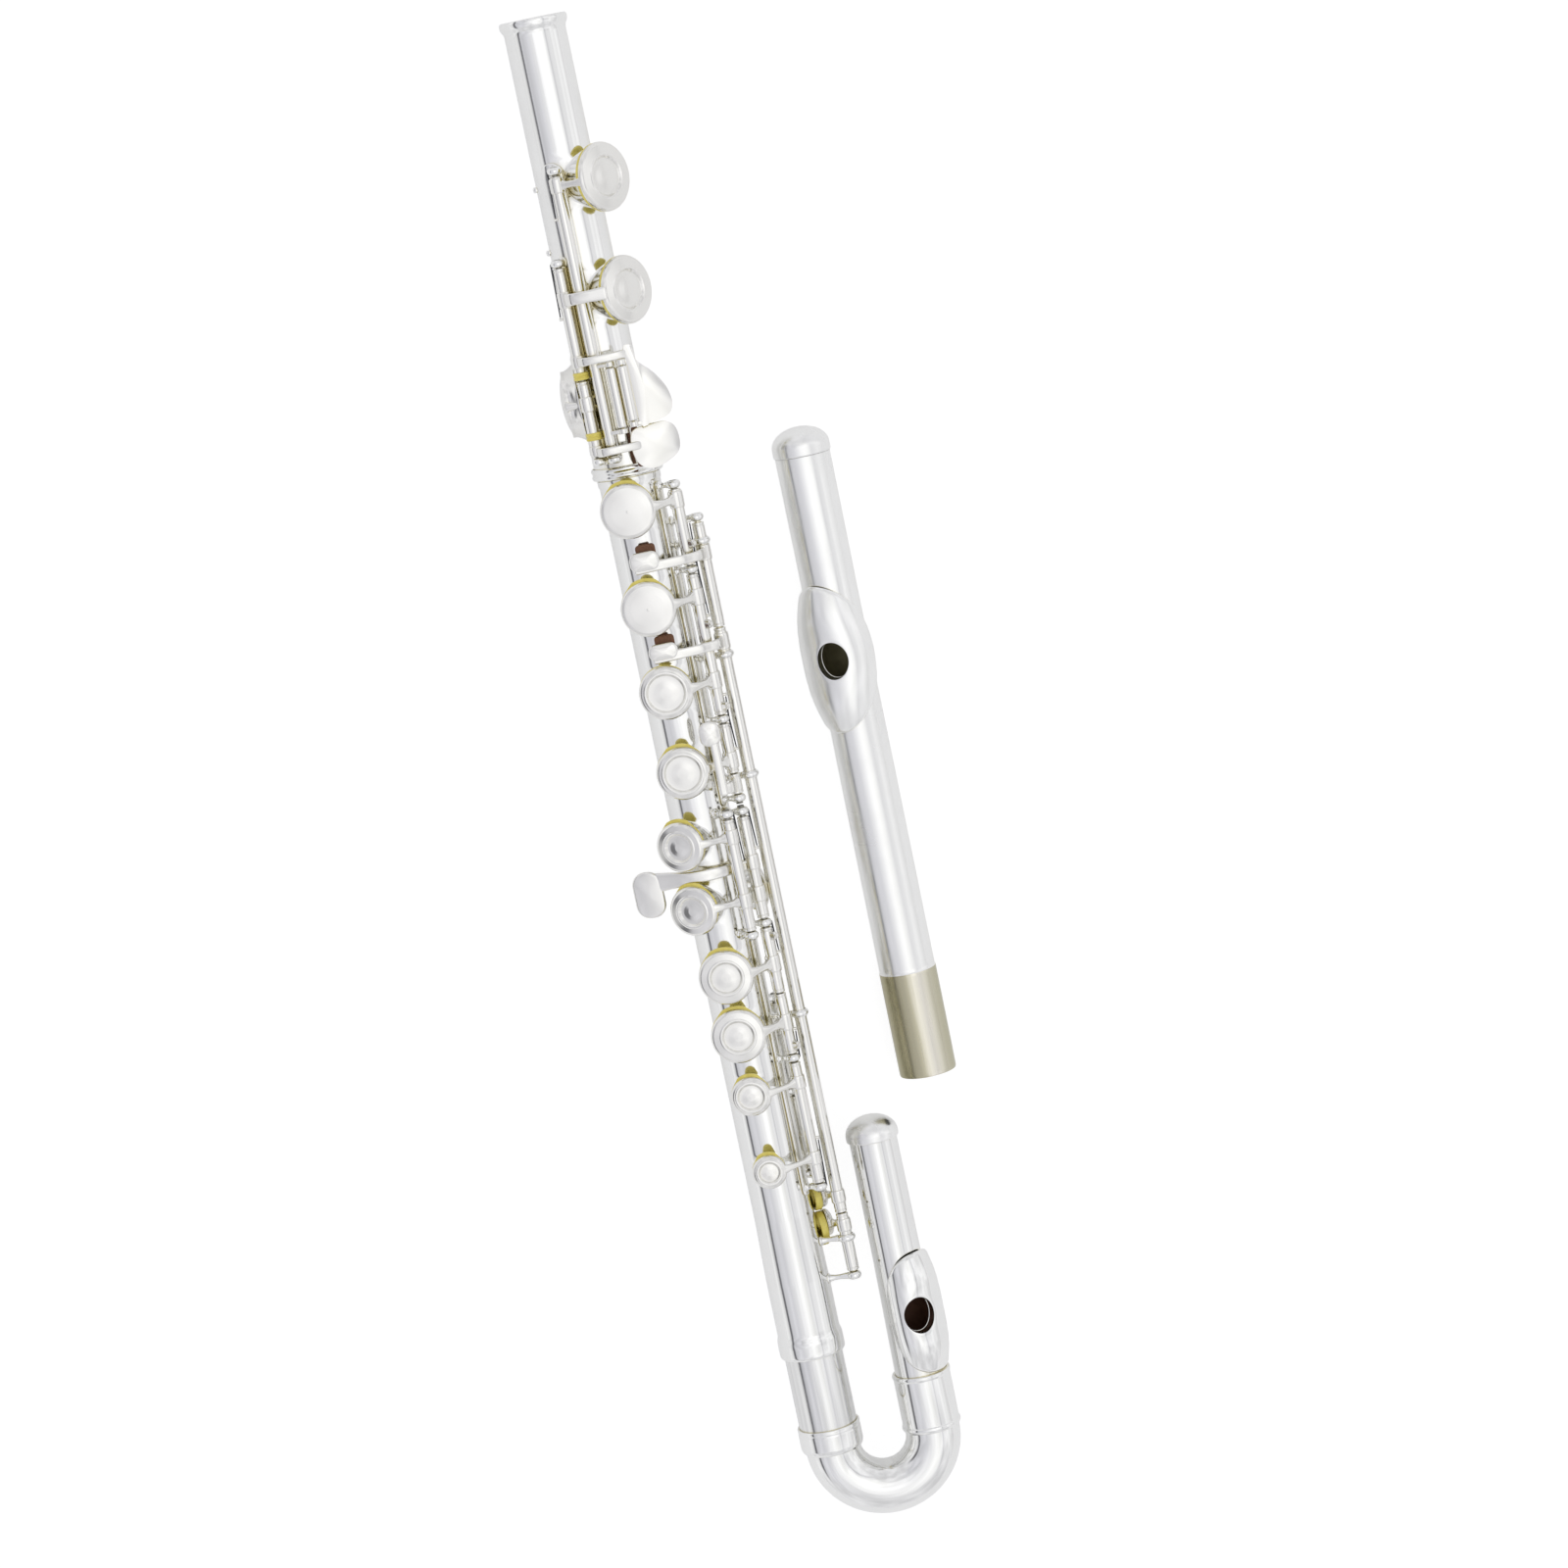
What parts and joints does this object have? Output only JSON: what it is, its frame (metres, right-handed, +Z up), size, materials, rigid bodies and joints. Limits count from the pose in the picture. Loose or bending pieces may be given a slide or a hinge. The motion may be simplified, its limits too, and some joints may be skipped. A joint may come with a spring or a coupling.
{
  "type": "concert flute",
  "caption": "Closed-hole concert flute with a C foot and offset G keys, on a curved head joint, with its spare straight head joint beside it.",
  "frame": {"origin": "centre of the footprint of the flute and its spare head joint, on the surface they lie on", "axes": "+X along the tube towards the foot end, +Y away from the spare head joint, +Z up through the main key cups"},
  "size_m": [0.5031, 0.0919, 0.0348],
  "materials": {
    "key_silver": "polished silver plate",
    "pad_skin": "yellow bladder skin over felt",
    "pivot_steel": "drawn steel rod",
    "silver_plate": "polished silver plate",
    "stopper_cork": "bare cork"
  },
  "bodies": {
    "body": {"body_tube": "silver_plate", "right_hand_rib": "silver_plate", "left_hand_rib": "silver_plate", "trill_rib": "silver_plate", "thumb_rib": "silver_plate", "right_hand_steel": "pivot_steel", "left_hand_steel": "pivot_steel", "g_steel": "pivot_steel", "thumb_steel": "pivot_steel", "spare_head_tube": "silver_plate", "spare_lip_plate": "silver_plate"},
    "foot_ring": {"foot_socket_ring": "silver_plate"},
    "foot": {"foot_tube": "silver_plate", "foot_rib": "silver_plate", "low_c_steel": "pivot_steel", "low_csharp_steel": "pivot_steel"},
    "low_c_key": {"low_c_key": "key_silver", "low_c_pad": "pad_skin"},
    "low_csharp_key": {"low_csharp_key": "key_silver", "low_csharp_pad": "pad_skin"},
    "low_dsharp_key": {"low_dsharp_key": "key_silver", "low_dsharp_pad": "pad_skin"},
    "low_c_roller": {"low_c_roller": "key_silver"},
    "low_csharp_roller": {"low_csharp_roller": "key_silver"},
    "d_key": {"d_key": "key_silver", "d_pad": "pad_skin"},
    "e_key": {"e_key": "key_silver", "e_pad": "pad_skin"},
    "f_key": {"f_key": "key_silver", "f_pad": "pad_skin"},
    "fsharp_key": {"fsharp_key": "key_silver", "fsharp_pad": "pad_skin"},
    "side_bflat_lever": {"side_bflat_lever": "key_silver"},
    "a_key": {"a_key": "key_silver", "a_pad": "pad_skin"},
    "bflat_key": {"bflat_key": "key_silver", "bflat_pad": "pad_skin"},
    "upper_c_key": {"upper_c_key": "key_silver", "c_pad": "pad_skin", "csharp_pad": "pad_skin"},
    "g_key": {"g_key": "key_silver", "g_low_pad": "pad_skin", "g_high_pad": "pad_skin"},
    "gsharp_key": {"gsharp_key": "key_silver", "gsharp_pad": "pad_skin"},
    "thumb_key": {"thumb_key": "key_silver", "thumb_pad": "pad_skin"},
    "thumb_bflat_lever": {"thumb_bflat_lever": "key_silver"},
    "d_trill_key": {"d_trill_key": "key_silver", "d_trill_pad": "pad_skin"},
    "dsharp_trill_key": {"dsharp_trill_key": "key_silver", "dsharp_trill_pad": "pad_skin"},
    "head_slide": {"head_lower_tube": "silver_plate"},
    "head": {"head_bend": "silver_plate", "head_upper_tube": "silver_plate", "head_lip_plate": "silver_plate"},
    "head_crown": {"head_crown": "key_silver"},
    "head_stopper": {"head_stopper": "stopper_cork"},
    "spare_crown": {"spare_crown": "key_silver"},
    "spare_stopper": {"spare_stopper": "stopper_cork"}
  },
  "joints": [
    {"name": "foot_joint_slide", "type": "slide", "parent": "body", "child": "foot_ring", "axis": [0.9999, 0, -0.0156], "range_m": [0, 0.016]},
    {"name": "foot_joint_turn", "type": "hinge", "parent": "foot_ring", "child": "foot", "pos_m": [0.11732, 0.0203, 0.01301], "axis": [0.9999, 0, -0.0156], "continuous": true},
    {"name": "d_key_hinge", "type": "hinge", "parent": "body", "child": "d_key", "pos_m": [0.08615, 0.0068, 0.022], "axis": [0.9999, 0, -0.0156], "range_deg": [-8.5, 0], "stiffness_Nm_per_rad": 0.012, "springref_deg": 11.46},
    {"name": "e_key_hinge", "type": "hinge", "parent": "body", "child": "e_key", "pos_m": [0.05906, 0.0068, 0.02242], "axis": [0.9999, 0, -0.0156], "range_deg": [-8.5, 0], "stiffness_Nm_per_rad": 0.012, "springref_deg": 11.46},
    {"name": "f_key_hinge", "type": "hinge", "parent": "body", "child": "f_key", "pos_m": [0.03576, 0.0068, 0.02278], "axis": [0.9999, 0, -0.0156], "range_deg": [-8.5, 0], "stiffness_Nm_per_rad": 0.012, "springref_deg": 11.46},
    {"name": "fsharp_key_hinge", "type": "hinge", "parent": "body", "child": "fsharp_key", "pos_m": [0.01316, 0.0068, 0.02314], "axis": [0.9999, 0, -0.0156], "range_deg": [-8.5, 0], "stiffness_Nm_per_rad": 0.012, "springref_deg": 11.46},
    {"name": "a_key_hinge", "type": "hinge", "parent": "body", "child": "a_key", "pos_m": [-0.05763, 0.0068, 0.02424], "axis": [0.9999, 0, -0.0156], "range_deg": [-8.5, 0], "stiffness_Nm_per_rad": 0.012, "springref_deg": 11.46},
    {"name": "bflat_key_hinge", "type": "hinge", "parent": "body", "child": "bflat_key", "pos_m": [-0.07903, 0.0068, 0.02458], "axis": [0.9999, 0, -0.0156], "range_deg": [-8.5, 0], "stiffness_Nm_per_rad": 0.012, "springref_deg": 11.46},
    {"name": "upper_c_key_hinge", "type": "hinge", "parent": "body", "child": "upper_c_key", "pos_m": [-0.11272, 0.0068, 0.0251], "axis": [0.9999, 0, -0.0156], "range_deg": [-8.5, 0], "stiffness_Nm_per_rad": 0.012, "springref_deg": 11.46},
    {"name": "g_key_hinge", "type": "hinge", "parent": "body", "child": "g_key", "pos_m": [-0.02715, 0.0117, 0.02907], "axis": [0.9999, 0, -0.0156], "range_deg": [-8.5, 0], "stiffness_Nm_per_rad": 0.012, "springref_deg": 11.46},
    {"name": "side_bflat_hinge", "type": "hinge", "parent": "body", "child": "side_bflat_lever", "pos_m": [0.00146, 0.0068, 0.02332], "axis": [0.9999, 0, -0.0156], "range_deg": [-4, 0], "stiffness_Nm_per_rad": 0.012, "springref_deg": 11.46},
    {"name": "gsharp_key_hinge", "type": "hinge", "parent": "body", "child": "gsharp_key", "pos_m": [-0.02643, 0.0068, 0.02375], "axis": [0.9999, 0, -0.0156], "range_deg": [-8, 0], "stiffness_Nm_per_rad": 0.012, "springref_deg": 11.46},
    {"name": "thumb_key_hinge", "type": "hinge", "parent": "body", "child": "thumb_key", "pos_m": [-0.09002, 0.0088, 0.00575], "axis": [0.9999, 0, -0.0156], "range_deg": [-8, 0], "stiffness_Nm_per_rad": 0.012, "springref_deg": -11.46},
    {"name": "thumb_bflat_hinge", "type": "hinge", "parent": "body", "child": "thumb_bflat_lever", "pos_m": [-0.12032, 0.0088, 0.00622], "axis": [0.9999, 0, -0.0156], "range_deg": [-6, 0], "stiffness_Nm_per_rad": 0.012, "springref_deg": 11.46},
    {"name": "d_trill_hinge", "type": "hinge", "parent": "body", "child": "d_trill_key", "pos_m": [-0.0471, 0.0017, 0.01968], "axis": [0.9999, 0, -0.0156], "range_deg": [-8, 0], "stiffness_Nm_per_rad": 0.012, "springref_deg": 11.46},
    {"name": "dsharp_trill_hinge", "type": "hinge", "parent": "body", "child": "dsharp_trill_key", "pos_m": [-0.0406, 0.0017, 0.01958], "axis": [0.9999, 0, -0.0156], "range_deg": [-8, 0], "stiffness_Nm_per_rad": 0.012, "springref_deg": 11.46},
    {"name": "low_c_hinge", "type": "hinge", "parent": "foot", "child": "low_c_key", "pos_m": [0.15832, 0.0232, 0.02577], "axis": [0.9999, 0, -0.0156], "range_deg": [0, 8], "stiffness_Nm_per_rad": 0.012, "springref_deg": -11.46},
    {"name": "low_csharp_hinge", "type": "hinge", "parent": "foot", "child": "low_csharp_key", "pos_m": [0.15639, 0.0282, 0.0238], "axis": [0.9999, 0, -0.0156], "range_deg": [0, 8], "stiffness_Nm_per_rad": 0.012, "springref_deg": -11.46},
    {"name": "low_dsharp_hinge", "type": "hinge", "parent": "foot", "child": "low_dsharp_key", "pos_m": [0.12599, 0.0282, 0.02427], "axis": [0.9999, 0, -0.0156], "range_deg": [0, 8], "stiffness_Nm_per_rad": 0.012, "springref_deg": -11.46},
    {"name": "low_c_roller_spin", "type": "hinge", "parent": "low_c_key", "child": "low_c_roller", "pos_m": [0.13126, 0.01857, 0.02846], "axis": [0.9999, 0, -0.0156], "continuous": true},
    {"name": "low_csharp_roller_spin", "type": "hinge", "parent": "low_csharp_key", "child": "low_csharp_roller", "pos_m": [0.13208, 0.01494, 0.02968], "axis": [0.9999, 0, -0.0156], "continuous": true},
    {"name": "head_joint_slide", "type": "slide", "parent": "body", "child": "head_slide", "axis": [-0.9999, 0, 0.0156], "range_m": [0, 0.025]},
    {"name": "head_joint_turn", "type": "hinge", "parent": "head_slide", "child": "head", "pos_m": [-0.22264, 0.0203, 0.01832], "axis": [0.9999, 0, -0.0156], "continuous": true},
    {"name": "head_crown_turn", "type": "hinge", "parent": "head", "child": "head_crown", "pos_m": [-0.12465, -0.0133, 0.01679], "axis": [0.9999, 0, -0.0156], "range_deg": [-1080, 1080]},
    {"name": "head_stopper_slide", "type": "slide", "parent": "head", "child": "head_stopper", "axis": [0.9999, 0, -0.0156], "range_m": [-0.0022, 0.0022]},
    {"name": "spare_crown_turn", "type": "hinge", "parent": "body", "child": "spare_crown", "pos_m": [0.0997, -0.0357, 0.0094], "axis": [1, 0, 0], "range_deg": [-1080, 1080]},
    {"name": "spare_stopper_slide", "type": "slide", "parent": "body", "child": "spare_stopper", "axis": [1, 0, 0], "range_m": [-0.0022, 0.0022]}
  ],
  "couplings": [
    {"joint": "fsharp_key_hinge", "follows": "f_key_hinge", "ratio": 1},
    {"joint": "bflat_key_hinge", "follows": "a_key_hinge", "ratio": 1},
    {"joint": "head_stopper_slide", "follows": "head_crown_turn", "m_per_rad": -0.00011141},
    {"joint": "spare_stopper_slide", "follows": "spare_crown_turn", "m_per_rad": -0.00011141}
  ]
}
